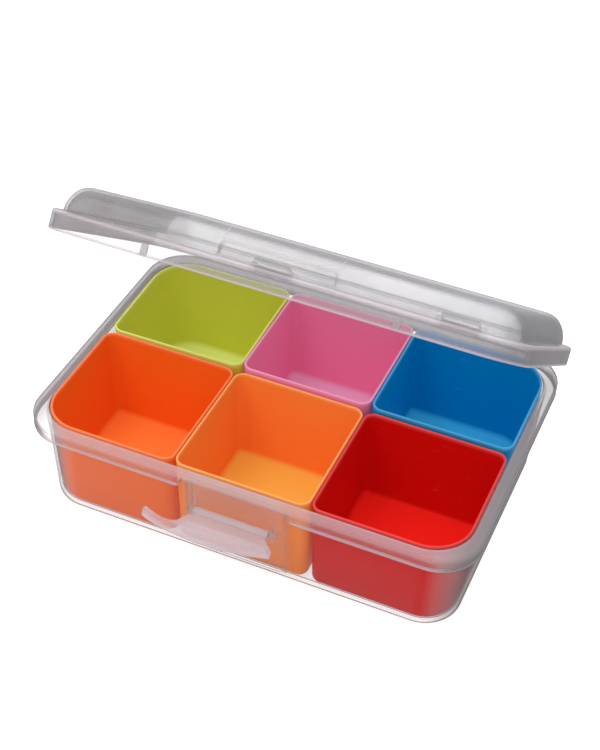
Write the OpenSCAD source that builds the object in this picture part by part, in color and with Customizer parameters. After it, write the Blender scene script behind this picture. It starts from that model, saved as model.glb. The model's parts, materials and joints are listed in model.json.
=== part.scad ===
// Compartment caddy: a clear rectangular tub with six loose coloured cups, one hinged
// clear lid and a front latch flap. Millimetres, +Z up, +X to the right, +Y to the back.
// The origin is the centre of the tub's base.

/* [Tub] */
// Outer width of the rim
tub_w = 220; // [180:1:260]
// Outer depth of the rim
tub_d = 152; // [130:1:180]
// Height of the rim above the base
tub_h = 52.5; // [46:0.1:70]
// Wall and floor thickness
tub_wall = 1.5; // [1.2:0.1:2.2]
// From the rim's outer edge in to the cavity, at the top
rim_reach = 5.7; // [5:0.1:7]
// Corner radius of the rim
rim_corner = 20.5; // [17:0.5:24]
// Thickness of the flat rim
rim_t = 1.8; // [1.4:0.1:2.4]
// Height of the rim's turned-down edge
rim_skirt = 7.2; // [6:0.1:9]
// Thickness of the rim's turned-down edge
rim_skirt_t = 1.4; // [1:0.1:2]
// How much narrower the tub is at its base, on each side
tub_draft = 3; // [2:0.1:4]
// Radius of the rounded edge round the base
base_round = 4; // [2:0.5:6]

/* [Latch panel on the tub] */
// Width of the raised panel behind the latch, at the wall
panel_w = 54; // [48:1:60]
// Width of the panel's flat face
panel_face_w = 43; // [42.6:0.2:46]
// How far the panel stands out of the wall at the top
panel_out = 2.6; // [2:0.1:3.2]
// Height at which the panel starts
panel_z = 5; // [4:0.5:10]
// From the panel's side in to the gap in the rim's turned-down edge
notch_in = 1; // [0:0.5:2]
// Radius of the rounded ends of the turned-down edge beside the panel
notch_round = 4; // [2:0.5:6]

/* [Cups] */
// Wall and floor thickness of a cup
cup_wall = 1.1; // [1:0.1:1.8]
// Height of a cup's lip above the rim
cup_rise = 0.6; // [0.2:0.1:1.2]
// Gap from a cup to the tub's walls
cup_play = 0.6; // [0.4:0.1:1.5]
// Gap between neighbouring cups in a row
cup_gap = 0.6; // [0.5:0.1:2]
// Gap under a cup
cup_lift = 0.3; // [0.2:0.1:1]
// Width of a middle cup
middle_cup_w = 66.4; // [50:0.1:80]
// Depth of a back row cup
back_cup_d = 66; // [50:0.1:75]
// Gap between the front row and the back row
row_gap = 3.2; // [3:0.1:5]
// Radius of a cup's small upright corners
cup_corner = 5.5; // [4:0.5:9]
// Radius of the edge round a cup's floor
cup_floor_round = 3.4; // [2:0.2:6]
// Taper of the walls that face another cup, from lip to floor
cup_inner_draft = 0.8; // [0.4:0.1:2]
// Back row: how far each cup has slid towards the front, from left to right
lime_slide = 1.1; // [0:0.1:1.6]
pink_slide = 0.1; // [0:0.1:1.6]
blue_slide = 0.5; // [0:0.1:1.6]
// How far the lime cup sits turned in its place, in degrees
lime_turn = 0.8; // [0:0.1:1]

/* [Lid] */
// Wall thickness of the lid
lid_wall = 1.5; // [1.2:0.1:2]
// Gap between the rim and the lid's edge at the sides
lid_gap = 0.4; // [0.3:0.05:0.8]
// Gap between the rim and the lid's edge at the back, which swings past the rim
lid_back_gap = 0.7; // [0.6:0.05:1.2]
// Gap between the rim and the lid's edge at the front
lid_front_gap = 0.9; // [0.7:0.05:1.4]
// Gap between the cups' lips and the lid above them
lid_seat_gap = 0.5; // [0.3:0.05:1]
// Thickness of the lid's turned-down edge
lid_edge_t = 1.3; // [1:0.1:1.8]
// Height of the lid's turned-down edge
lid_edge_h = 9.2; // [8:0.1:11]
// Width of the ledge from the lid's edge to the foot of the dome
ledge_w = 5; // [4.2:0.1:7]
// Height of the dome above the ledge
dome_h = 13; // [9:0.5:18]
// How far the dome's rounded shoulder reaches in from its foot
shoulder = 11; // [8:0.5:14]
// Corner radius of the dome at its foot
dome_corner = 16; // [14:0.5:20]
// Width of the thumb recess in the dome's front
recess_w = 54; // [40:1:70]
// Depth of the thumb recess, from the foot of the dome
recess_d = 2.2; // [1.4:0.1:3.4]
// Radius of the recess's back corners
recess_round = 1.8; // [1:0.1:3]
// Distance from the centre to each rib inside the lid's front edge
rib_x = 57.5; // [40:0.5:80]
// Width of a rib
rib_w = 3.2; // [2:0.2:5]
// How far a rib stands out of the edge
rib_out = 0.5; // [0.3:0.1:0.5]
// Angle of the lid above its closed place
lid_open = 37; // [0:1:110]

/* [Lid hinge] */
// From the rim's back edge to the hinge axis
hinge_back = 8.4; // [8:0.1:10]
// From the top of the rim down to the hinge axis
hinge_down = 4.3; // [3.8:0.1:5]
// Distance from the centre to the middle of each hinge
hinge_x = 52; // [35:1:75]
// Width of a hinge hook on the lid
hook_w = 20; // [14:1:28]
// Radius of the hinge pins
pin_r = 1.9; // [1.6:0.1:2.1]
// Radial running clearance of the hinge pins
pin_fit = 0.06; // [0.03:0.01:0.1]
// Wall of the hook round the pin
hook_wall = 1.7; // [1.4:0.1:1.9]
// Width of the snap mouth in the hook
hook_mouth = 2.6; // [2:0.1:3]
// Thickness of the ears that hold the pins
ear_t = 2.5; // [2:0.1:3.5]
// Side gap between an ear and the part that turns beside it
ear_gap = 0.3; // [0.2:0.05:0.6]
// Radius of the ears' round ends
ear_r = 3.3; // [2.8:0.1:3.5]

/* [Latch] */
// Width of the latch's hinge barrel
latch_w = 36.4; // [30:0.2:42]
// Height of the latch's axis above the base
latch_z = 35.8; // [34:0.1:37]
// Radius of the latch's hinge barrel
barrel_r = 2.1; // [1.9:0.1:2.4]
// Radius of the latch's pins
latch_pin_r = 1.3; // [1:0.1:1.5]
// Radial running clearance of the latch's pins
latch_fit = 0.06; // [0.03:0.01:0.1]
// Thickness of the flap
flap_t = 1.5; // [1.2:0.1:2]
// Gap between the closed flap and the lid's edge
flap_gap = 0.4; // [0.3:0.05:0.8]
// Length of the flap at the crown of its free edge, from the axis
flap_l = 26.4; // [25.6:0.2:30]
// Radius of the flap's bowed free edge
bow_r = 49; // [47:1:60]
// Where the bow's crown lies to the left of the centre
bow_x = 5.3; // [3:0.1:6]
// How far right the flap would flare at the level of its crown
flap_right = 33; // [28:0.2:34]
// Left end of the thumb tab
flap_left = 36.6; // [33:0.1:38]
// Width of the thumb tab, which carries the lip on past the flap
tab_w = 2.4; // [2:0.1:3]
// Radius of the hollow between the neck and the thumb tab
tab_hollow_r = 4.5; // [3:0.5:6]
// Width of the thickened lip along the free edge
lip_w = 3; // [2.4:0.1:4]
// How far that lip stands out of the flap
lip_out = 2.2; // [1.2:0.1:2.4]
// Width of the rib along the flap's right side
side_rib_w = 1.2; // [0.8:0.1:2]
// Width of the catch that holds the lid's ledge
catch_w = 24; // [18:1:28]
// Height of the catch
catch_h = 1.8; // [1.2:0.1:2.4]
// Thickness of the catch at its tip
catch_nose = 0.4; // [0.3:0.1:0.8]
// How far the catch reaches over the ledge
catch_reach = 2.4; // [1.6:0.1:3]
// Gap between the catch and the closed lid
catch_gap = 0.3; // [0.2:0.05:0.5]
// Angle of the latch outward from its closed place
latch_open = 60; // [0:1:150]

/* [Hidden] */

form_fn = 40;          // facets round the corners of the moulded shells
round_fn = 64;         // facets of rims, pins and bores, which are true circles
arc_steps = 6;         // steps in a rounded edge
over = 1;              // how far a cut runs past a face
merge = 0.6;           // how far joined pieces run into each other

// Tub
cavity_x = tub_w / 2 - rim_reach;
cavity_y = tub_d / 2 - rim_reach;
cavity_corner = rim_corner - tub_wall / 2;
body_corner = cavity_corner + tub_wall;
base_corner = cavity_corner - tub_draft;
skirt_z = tub_h - rim_skirt;
panel_top_y = cavity_y + tub_wall + panel_out;

// Cups
cup_z = tub_wall + cup_lift;
cup_top = tub_h + cup_rise;
cup_outer_draft = tub_draft + 0.4;
side_cup_x0 = middle_cup_w / 2 + cup_gap;
side_cup_x1 = cavity_x - cup_play;
cup_outer_corner = cavity_corner - cup_play;
front_row_y0 = -cavity_y + cup_play;
back_row_y1 = cavity_y - cup_play;
back_row_y0 = back_row_y1 - back_cup_d;
front_row_y1 = back_row_y0 - row_gap;

// Lid, in its closed place
lid_under = cup_top + lid_seat_gap;
lid_top = lid_under + lid_wall;
lid_edge_z = lid_top - lid_edge_h;
lid_x = tub_w / 2 + lid_gap + lid_edge_t;
lid_front = tub_d / 2 + lid_front_gap + lid_edge_t;
lid_back = tub_d / 2 + lid_back_gap + lid_edge_t;
lid_corner = rim_corner + lid_gap + lid_edge_t;
dome_front = lid_front - ledge_w;
recess_step = 0.2;

// Lid hinge
hinge_y = tub_d / 2 + hinge_back;
hinge_z = tub_h - hinge_down;
hook_r = pin_r + pin_fit + hook_wall;
hook_arm_low = 1.4;

// Latch, in its closed place: the flap stands upright in front of the lid's edge
flap_in = lid_front + flap_gap;
latch_y = flap_in - 1;
catch_l = lid_top + catch_gap - latch_z;
neck_x = latch_w / 2;
root_x = neck_x - 0.3;
neck_h = barrel_r + 1;
latch_ear_r = barrel_r + 0.3;
neck_side = neck_x + 1.1;
bow_z = flap_l - bow_r;
hollow_x = neck_side + tab_hollow_r;
hollow_z = bow_z + sqrt(pow(bow_r - tab_w - tab_hollow_r, 2) - pow(hollow_x - bow_x, 2));

// How far in front of the centre the latch panel's face is at height z
function panel_y(z) = panel_top_y - tub_draft * (skirt_z - z) / (skirt_z - panel_z - panel_out);

// Corner posts [x, y, radius] of a box between x0..x1 and y0..y1
function posts(x0, x1, y0, y1, r) = [
    [x0 + r[0], y0 + r[0], r[0]],
    [x1 - r[1], y0 + r[1], r[1]],
    [x1 - r[2], y1 - r[2], r[2]],
    [x0 + r[3], y1 - r[3], r[3]]
];

// A disc whose lower edge is rounded
module foot_disc(r, edge) {
    rotate_extrude($fn = form_fn)
        polygon(concat(
            [[0, 0]],
            [for (i = [0 : arc_steps])
                let (a = 90 * i / arc_steps)
                [r - edge + edge * sin(a), edge - edge * cos(a)]],
            [[0, edge]]));
}

// A tapered shell form: rounded feet below, thin discs at the top
module moulded_form(low, high, z0, z1, edge) {
    hull() {
        for (p = low)
            translate([p[0], p[1], z0])
                foot_disc(p[2], edge);
        for (p = high)
            translate([p[0], p[1], z1 - 0.1])
                cylinder(r = p[2], h = 0.1, $fn = form_fn);
    }
}

// A flat plate with round corners and straight sides
module plate(x, y0, y1, r, z0, z1) {
    translate([0, 0, z0])
        linear_extrude(z1 - z0) {
            translate([-x, y0 + r])
                square([2 * x, y1 - y0 - 2 * r]);
            translate([-x + r, y0])
                square([2 * (x - r), y1 - y0]);
            for (sx = [-1, 1], y = [y0 + r, y1 - r])
                translate([sx * (x - r), y])
                    circle(r = r, $fn = round_fn);
        }
}

// An upright profile in Y and Z, extruded along X
module along_x(x0, x1) {
    translate([x0, 0, 0])
        rotate([90, 0, 90])
            linear_extrude(x1 - x0)
                children();
}

// A round bar along X
module bar(x0, x1, y, z, r) {
    translate([x0, y, z])
        rotate([0, 90, 0])
            cylinder(r = r, h = x1 - x0, $fn = round_fn);
}

module tub_shell() {
    difference() {
        union() {
            moulded_form(
                posts(-cavity_x - tub_wall + tub_draft, cavity_x + tub_wall - tub_draft,
                      -cavity_y - tub_wall + tub_draft, cavity_y + tub_wall - tub_draft,
                      [for (i = [0 : 3]) base_corner + tub_wall]),
                posts(-cavity_x - tub_wall, cavity_x + tub_wall,
                      -cavity_y - tub_wall, cavity_y + tub_wall,
                      [for (i = [0 : 3]) body_corner]),
                0, tub_h - rim_t / 2, base_round);
            plate(tub_w / 2, -tub_d / 2, tub_d / 2, rim_corner, tub_h - rim_t, tub_h);
            rim_edge();
            panel_block(0, rim_t / 2);
        }
        moulded_form(
            posts(-cavity_x + tub_draft, cavity_x - tub_draft,
                  -cavity_y + tub_draft, cavity_y - tub_draft,
                  [for (i = [0 : 3]) base_corner]),
            posts(-cavity_x, cavity_x, -cavity_y, cavity_y,
                  [for (i = [0 : 3]) cavity_corner]),
            tub_wall, tub_h + over, base_round);
        panel_block(tub_wall, rim_t);
    }
}

// The rim's turned-down edge, which stops either side of the latch panel
module rim_edge() {
    difference() {
        plate(tub_w / 2, -tub_d / 2, tub_d / 2, rim_corner, skirt_z, tub_h);
        plate(tub_w / 2 - rim_skirt_t, -tub_d / 2 + rim_skirt_t, tub_d / 2 - rim_skirt_t,
              rim_corner - rim_skirt_t, skirt_z - over, tub_h + over);
        translate([0, -cavity_y, skirt_z])
            rotate([90, 0, 0])
                linear_extrude(rim_reach + over)
                    notch_outline();
    }
}

// The gap in that edge: its lower corners flare out in quarter rounds
module notch_outline() {
    half = panel_w / 2 - notch_in;
    difference() {
        translate([-half - notch_round, -over])
            square([2 * (half + notch_round), rim_skirt + 2 * over]);
        for (s = [-1, 1])
            translate([s * (half + notch_round), notch_round])
                circle(r = notch_round, $fn = round_fn);
        for (s = [-1, 1])
            translate([s * (half + notch_round) - notch_round, notch_round])
                square([2 * notch_round, rim_skirt + over]);
    }
}

// The panel that carries the latch, or with a wall and a roof the hollow behind it
module panel_block(wall, roof) {
    top = tub_h - roof;
    root_y = -cavity_y + tub_draft + over;
    foot_z = panel_z + panel_out;
    hull() {
        panel_slab(panel_w / 2 - wall, root_y, panel_z + wall, top);
        panel_slab(panel_face_w / 2 - wall, -panel_y(skirt_z) + wall, skirt_z, top);
        panel_slab(panel_face_w / 2 - wall, -panel_y(foot_z) + wall,
                   foot_z + wall, foot_z + wall + merge);
    }
}

// A thin upright slab whose front is at y
module panel_slab(half, y, z0, z1) {
    translate([-half, y, z0])
        cube([2 * half, merge, z1 - z0]);
}

// Ears beside each lid hinge hook, with the pin between them
module lid_hinge_seat() {
    half = hook_w / 2 + ear_gap;
    for (s = [-1, 1])
        along_x(s > 0 ? half : -half - ear_t, s > 0 ? half + ear_t : -half)
            ear_outline();
    bar(-half - merge, half + merge, hinge_y, hinge_z, pin_r);
}

module ear_outline() {
    heel = lid_edge_z - 0.4;
    wall_y = cavity_y - tub_draft * 0.4;
    polygon([
        [wall_y, heel - 9],
        [wall_y + tub_wall + 2, heel - 9],
        [hinge_y + 0.5, hinge_z - ear_r],
        [hinge_y, hinge_z],
        [hinge_y - ear_r, hinge_z],
        [lid_back + 1.4, heel],
        [wall_y, heel]
    ]);
    translate([hinge_y, hinge_z])
        circle(r = ear_r, $fn = round_fn);
}

// Ears beside the latch's barrel
module latch_seat() {
    high = latch_z + latch_ear_r + 1.6;
    low = latch_z - latch_ear_r - 3.6;
    for (s = [-1, 1]) {
        x0 = s > 0 ? latch_w / 2 + ear_gap : -latch_w / 2 - ear_gap - ear_t;
        difference() {
            along_x(x0, x0 + ear_t) {
                translate([-latch_y, latch_z])
                    circle(r = latch_ear_r, $fn = round_fn);
                polygon([
                    [-latch_y, latch_z - latch_ear_r],
                    [-latch_y, latch_z + latch_ear_r],
                    [-panel_y(high) + tub_wall / 2, high],
                    [-panel_y(low) + tub_wall / 2, low]
                ]);
            }
            bar(x0 - over, x0 + ear_t + over, -latch_y, latch_z, latch_pin_r + latch_fit);
        }
    }
}

module tub() {
    color([0.87, 0.86, 0.88]) {
        tub_shell();
        for (s = [-1, 1])
            translate([s * hinge_x, 0, 0])
                lid_hinge_seat();
        latch_seat();
    }
}

// A cup between x0..x1 and y0..y1 at its lip. sides gives the taper of its left, right,
// front and back walls, and radii the radius of each upright corner.
module cup(x0, x1, y0, y1, sides, radii) {
    low_radii = [for (r = radii) max(r - cup_outer_draft, cup_corner - cup_inner_draft)];
    difference() {
        moulded_form(
            posts(x0 + sides[0], x1 - sides[1], y0 + sides[2], y1 - sides[3], low_radii),
            posts(x0, x1, y0, y1, radii),
            cup_z, cup_top, cup_floor_round);
        moulded_form(
            posts(x0 + sides[0] + cup_wall, x1 - sides[1] - cup_wall,
                  y0 + sides[2] + cup_wall, y1 - sides[3] - cup_wall,
                  [for (r = low_radii) r - cup_wall]),
            posts(x0 + cup_wall, x1 - cup_wall, y0 + cup_wall, y1 - cup_wall,
                  [for (r = radii) r - cup_wall]),
            cup_z + cup_wall, cup_top + over, cup_floor_round - cup_wall);
    }
}

// A corner cup on the right (side = 1) or the left (side = -1), from y0 to y1 at its lip
module corner_cup(side, y0, y1) {
    at_front = y0 == front_row_y0;
    outer = cup_outer_draft;
    inner = cup_inner_draft;
    small = cup_corner;
    large = cup_outer_corner;
    mirror([side < 0 ? 1 : 0, 0, 0])
        cup(side_cup_x0, side_cup_x1, y0, y1,
            [inner, outer, at_front ? outer : inner, at_front ? inner : outer],
            at_front ? [small, large, small, small] : [small, small, large, small]);
}

// A middle cup from y0 to y1 at its lip
module middle_cup(y0, y1) {
    at_front = y0 == front_row_y0;
    outer = cup_outer_draft;
    inner = cup_inner_draft;
    cup(-middle_cup_w / 2, middle_cup_w / 2, y0, y1,
        [inner, inner, at_front ? outer : inner, at_front ? inner : outer],
        [for (i = [0 : 3]) cup_corner]);
}

module cup_red_orange() {
    color([0.88, 0.30, 0.07])
        corner_cup(-1, front_row_y0, front_row_y1);
}

module cup_orange() {
    color([0.93, 0.42, 0.15])
        middle_cup(front_row_y0, front_row_y1);
}

module cup_red() {
    color([0.80, 0.05, 0.04])
        corner_cup(1, front_row_y0, front_row_y1);
}

module cup_lime() {
    middle_x = -(side_cup_x0 + side_cup_x1) / 2;
    middle_y = (back_row_y0 + back_row_y1) / 2;
    color([0.66, 0.68, 0.18])
        translate([middle_x, middle_y - lime_slide, 0])
            rotate([0, 0, lime_turn])
                translate([-middle_x, -middle_y, 0])
                    corner_cup(-1, back_row_y0, back_row_y1);
}

module cup_pink() {
    color([0.80, 0.35, 0.51])
        translate([0, -pink_slide, 0])
            middle_cup(back_row_y0, back_row_y1);
}

module cup_blue() {
    color([0.00, 0.37, 0.65])
        translate([0, -blue_slide, 0])
            corner_cup(1, back_row_y0, back_row_y1);
}

// One corner of the dome: its shoulder is a quarter of an ellipse
module dome_corner_form(r, reach, h) {
    rotate_extrude($fn = form_fn)
        polygon(concat(
            [[0, 0]],
            [for (i = [0 : arc_steps])
                let (a = 90 * i / arc_steps)
                [r - reach + reach * cos(a), h * sin(a)]],
            [[0, h]]));
}

// The dome, shrunk by inset on every side; foot is how far it runs down below the ledge
module dome_form(inset, foot) {
    r = dome_corner - inset;
    x = lid_x - ledge_w - inset - r;
    y0 = -dome_front + inset + r;
    y1 = lid_back - ledge_w - inset - r;
    hull()
        for (sx = [-1, 1], y = [y0, y1])
            translate([sx * x, y, lid_top - foot]) {
                translate([0, 0, foot])
                    dome_corner_form(r, shoulder - inset, dome_h - inset);
                cylinder(r = r, h = foot, $fn = form_fn);
            }
}

// The thumb recess from z0 up, or with a wall the block of the dome it is cut in. It has
// no roof, so its back meets the slope of the dome in an arch.
module recess_form(wall, z0) {
    half = recess_w / 2 + wall;
    round_r = recess_round + wall;
    deep = recess_d + wall;
    translate([0, -dome_front, z0])
        linear_extrude(dome_h + over) {
            translate([-half, -over])
                square([2 * half, over + deep - round_r]);
            translate([-half + round_r, -over])
                square([2 * (half - round_r), over + deep]);
            for (s = [-1, 1])
                translate([s * (half - round_r), deep - round_r])
                    circle(r = round_r, $fn = round_fn);
        }
}

module lid_shell() {
    difference() {
        union() {
            plate(lid_x, -lid_front, lid_back, lid_corner, lid_edge_z, lid_top);
            dome_form(0, merge);
        }
        difference() {
            union() {
                plate(lid_x - lid_edge_t, -lid_front + lid_edge_t, lid_back - lid_edge_t,
                      lid_corner - lid_edge_t, lid_edge_z - over, lid_under);
                dome_form(lid_wall, lid_wall + over);
            }
            recess_form(lid_wall, lid_under + recess_step);
        }
        recess_form(0, lid_top + recess_step);
    }
}

// A rib inside the lid's front edge, which centres the lid on the rim
module lid_rib() {
    low = lid_edge_z + 0.6;
    translate([rib_x - rib_w / 2, -lid_front + lid_edge_t - merge, low])
        cube([rib_w, merge + rib_out, lid_edge_h * 0.6]);
}

// A hook behind the lid that snaps over a hinge pin
module lid_hook() {
    difference() {
        along_x(-hook_w / 2, hook_w / 2)
            hook_outline();
        bar(-hook_w / 2 - over, hook_w / 2 + over, hinge_y, hinge_z, pin_r + pin_fit);
        translate([-hook_w / 2 - over, hinge_y - hook_mouth / 2, hinge_z - hook_r - over])
            cube([hook_w + 2 * over, hook_mouth, hook_r + over]);
    }
}

module hook_outline() {
    root = lid_back - lid_edge_t / 2;
    translate([hinge_y, hinge_z])
        circle(r = hook_r, $fn = round_fn);
    polygon([
        [root, hinge_z - hook_arm_low],
        [hinge_y - pin_r, hinge_z - hook_arm_low],
        [hinge_y, hinge_z],
        [hinge_y, hinge_z + hook_r],
        [root, lid_top - lid_wall / 2]
    ]);
}

module lid() {
    color([0.80, 0.79, 0.82])
        translate([0, hinge_y, hinge_z])
            rotate([-lid_open, 0, 0])
                translate([0, -hinge_y, -hinge_z]) {
                    lid_shell();
                    for (s = [-1, 1]) {
                        mirror([s < 0 ? 1 : 0, 0, 0])
                            lid_rib();
                        translate([s * hinge_x, 0, 0])
                            lid_hook();
                    }
                }
}

// The flap seen from the front, X across and Y along its length from the axis
module flap_outline() {
    difference() {
        intersection() {
            translate([-bow_x, bow_z])
                circle(r = bow_r, $fn = 4 * round_fn);
            polygon([
                [-root_x, 0],
                [root_x, 0],
                [root_x, neck_h],
                [flap_right, flap_l],
                [-flap_left, flap_l],
                [-flap_left, neck_h],
                [-root_x, neck_h]
            ]);
        }
        tab_hollow();
    }
}

// The hollow between the flap's left side and the thumb tab
module tab_hollow() {
    translate([-hollow_x, hollow_z])
        circle(r = tab_hollow_r, $fn = round_fn);
    translate([-2 * flap_left, -over])
        square([2 * flap_left - neck_side, hollow_z + over]);
    intersection() {
        translate([-bow_x, bow_z])
            circle(r = bow_r - tab_w, $fn = 4 * round_fn);
        polygon([
            [-bow_x, bow_z],
            [-bow_x - 2 * (hollow_x - bow_x), bow_z + 2 * (hollow_z - bow_z)],
            [-2 * flap_left, bow_z + 2 * (hollow_z - bow_z)],
            [-2 * flap_left, bow_z]
        ]);
    }
}

// What is cut away in front of the flap, inside its lip and its right side's rib
module flap_face_outline() {
    flare = atan((flap_right - root_x) / (flap_l - neck_h));
    difference() {
        translate([-bow_x, bow_z])
            circle(r = bow_r - lip_w, $fn = 4 * round_fn);
        translate([root_x, neck_h])
            rotate(-flare)
                translate([-side_rib_w, -neck_h - over])
                    square([2 * side_rib_w, 2 * flap_l]);
    }
}

// Stands a flat outline upright in front of the axis, from y0 out to y1
module upright(y0, y1) {
    translate([0, -y0, latch_z])
        rotate([90, 0, 0])
            linear_extrude(y1 - y0)
                children();
}

module latch() {
    pin_end = neck_x + ear_gap + ear_t - 0.3;
    color([0.90, 0.86, 0.86])
        translate([0, -latch_y, latch_z])
            rotate([latch_open, 0, 0])
                translate([0, latch_y, -latch_z]) {
                    bar(-neck_x, neck_x, -latch_y, latch_z, barrel_r);
                    bar(-pin_end, pin_end, -latch_y, latch_z, latch_pin_r);
                    flap();
                    latch_catch();
                }
}

module flap() {
    front = flap_in + flap_t;
    difference() {
        upright(flap_in, front + lip_out)
            flap_outline();
        upright(front, front + lip_out + over)
            flap_face_outline();
    }
}

// The catch on the back of the flap, which closes over the lid's ledge
module latch_catch() {
    low = latch_z + catch_l;
    along_x(-catch_w / 2, catch_w / 2)
        polygon([
            [-flap_in - merge, low],
            [-flap_in + catch_reach, low],
            [-flap_in + catch_reach, low + catch_nose],
            [-flap_in - merge, low + catch_h]
        ]);
}

tub();
lid();
latch();
cup_red_orange();
cup_orange();
cup_red();
cup_lime();
cup_pink();
cup_blue();
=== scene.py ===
"""A clear compartment box: a tub with six loose coloured cups, one hinged lid and a latch."""

import json
import math

import bpy
from bpy.props import FloatProperty, FloatVectorProperty, PointerProperty
from mathutils import Matrix, Vector


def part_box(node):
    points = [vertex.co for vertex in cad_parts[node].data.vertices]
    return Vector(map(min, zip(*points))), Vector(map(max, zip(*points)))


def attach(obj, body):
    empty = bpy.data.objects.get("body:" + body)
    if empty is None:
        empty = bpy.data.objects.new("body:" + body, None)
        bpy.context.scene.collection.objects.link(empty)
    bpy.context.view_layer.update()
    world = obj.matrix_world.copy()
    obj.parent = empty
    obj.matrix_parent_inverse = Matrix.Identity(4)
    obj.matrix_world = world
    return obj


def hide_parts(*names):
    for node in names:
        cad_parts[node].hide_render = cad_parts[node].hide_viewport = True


bl_info = {
    "name": "Compartment Caddy",
    "version": (1, 0, 0),
    "blender": (4, 5, 0),
    "location": "View3D > Sidebar > Caddy",
    "description": "Builds a clear compartment box with coloured cups, a hinged lid and a latch",
    "category": "Object",
}

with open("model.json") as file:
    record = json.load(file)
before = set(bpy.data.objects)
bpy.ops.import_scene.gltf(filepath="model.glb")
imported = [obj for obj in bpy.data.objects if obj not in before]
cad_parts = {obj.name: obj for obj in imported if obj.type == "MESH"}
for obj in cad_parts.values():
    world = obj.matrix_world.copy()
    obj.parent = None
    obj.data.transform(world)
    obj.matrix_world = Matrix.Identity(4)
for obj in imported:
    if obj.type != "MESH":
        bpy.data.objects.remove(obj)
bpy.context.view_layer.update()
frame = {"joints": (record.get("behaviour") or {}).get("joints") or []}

MM = 0.001
CORNER_STEPS = 16   # steps in a quarter circle of a shell's corner
EDGE_STEPS = 5      # steps in a rounded edge
SHARP = math.radians(40)

JOINTS = {joint["name"]: joint for joint in frame["joints"]}
LID_AXIS = Vector(JOINTS["lid_hinge"]["pos_m"])
LID_OPEN = -math.radians(JOINTS["lid_hinge"]["range_deg"][0])
LATCH_AXIS = Vector(JOINTS["latch_hinge"]["pos_m"])
LATCH_OPEN = -math.radians(JOINTS["latch_hinge"]["range_deg"][0])


# ---------------------------------------------------------------------------- sizes

def length(name, millimetres, about):
    """A size that a user may change, given in millimetres."""
    return FloatProperty(name=name, description=about, default=millimetres * MM,
                         min=0.0, soft_max=0.3, precision=5, unit="LENGTH")


def amount(name, default, about):
    """A share between nothing and all."""
    return FloatProperty(name=name, description=about, default=default,
                         min=0.0, max=1.0, subtype="FACTOR")


def colour(name, default, about):
    """A colour, as linear light."""
    return FloatVectorProperty(name=name, description=about, default=default,
                               min=0.0, max=1.0, size=3, subtype="COLOR")


class CaddyTubSizes(bpy.types.PropertyGroup):
    """Sizes of the tub."""

    width: length("Width", 220, "Outer width of the rim")
    depth: length("Depth", 152, "Outer depth of the rim")
    height: length("Height", 52.5, "Height of the rim above the base")
    wall: length("Wall", 1.5, "Thickness of the walls and the floor")
    corner: length("Corner", 20.5, "Corner radius of the rim")
    reach: length("Rim reach", 5.7, "From the rim's outer edge in to the cavity")
    rim: length("Rim thickness", 1.8, "Thickness of the flat rim")
    skirt: length("Skirt", 7.2, "Height of the rim's turned-down edge")
    skirt_wall: length("Skirt thickness", 1.4, "Thickness of the turned-down edge")
    draft: length("Draft", 3, "How much narrower the base is, on each side")
    base_round: length("Base rounding", 4, "Radius of the edge round the base")
    panel: length("Panel width", 54, "Width of the raised latch panel at the wall")
    panel_face: length("Panel face", 43, "Width of the latch panel's flat face")
    panel_out: length("Panel height", 2.6, "How far the latch panel stands out")
    panel_foot: length("Panel foot", 5, "Height at which the latch panel starts")
    notch_round: length("Notch rounding", 4, "Radius of the skirt's ends at the panel")


class CaddyLidSizes(bpy.types.PropertyGroup):
    """Sizes of the lid, in its closed place."""

    half_width: length("Half width", 111.7, "From the middle to the lid's side edge")
    front: length("Front", 78.2, "From the middle to the lid's front edge")
    back: length("Back", 78.0, "From the middle to the lid's back edge")
    top: length("Ledge level", 55.1, "Height of the ledge's top above the base")
    corner: length("Corner", 22.2, "Corner radius of the lid")
    wall: length("Wall", 1.5, "Thickness of the lid")
    edge: length("Edge height", 9.2, "Height of the turned-down edge")
    edge_wall: length("Edge thickness", 1.3, "Thickness of the turned-down edge")
    ledge: length("Ledge", 5, "Width of the ledge round the dome")
    dome: length("Dome height", 13, "Height of the dome above the ledge")
    shoulder: length("Shoulder", 11, "How far the dome's shoulder reaches in")
    dome_corner: length("Dome corner", 16, "Corner radius of the dome's foot")
    recess: length("Recess width", 54, "Width of the thumb recess")
    recess_deep: length("Recess depth", 2.2, "Depth of the thumb recess")
    peg: length("Peg place", 57.5, "From the middle to each peg on the front edge")


class CaddyCupSizes(bpy.types.PropertyGroup):
    """Sizes that the six cups share."""

    wall: length("Wall", 1.1, "Thickness of a cup's wall and floor")
    floor_round: length("Floor rounding", 3.4, "Radius of the edge under a cup")
    corner: length("Corner", 5.5, "Radius of the small upright corners")
    big_corner: length("Outer corner", 19.15, "Radius of the corner beside the tub's corner")
    outer_taper: length("Outer taper", 3.4, "Taper of a wall beside the tub's wall")
    inner_taper: length("Inner taper", 0.8, "Taper of a wall beside another cup")


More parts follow.
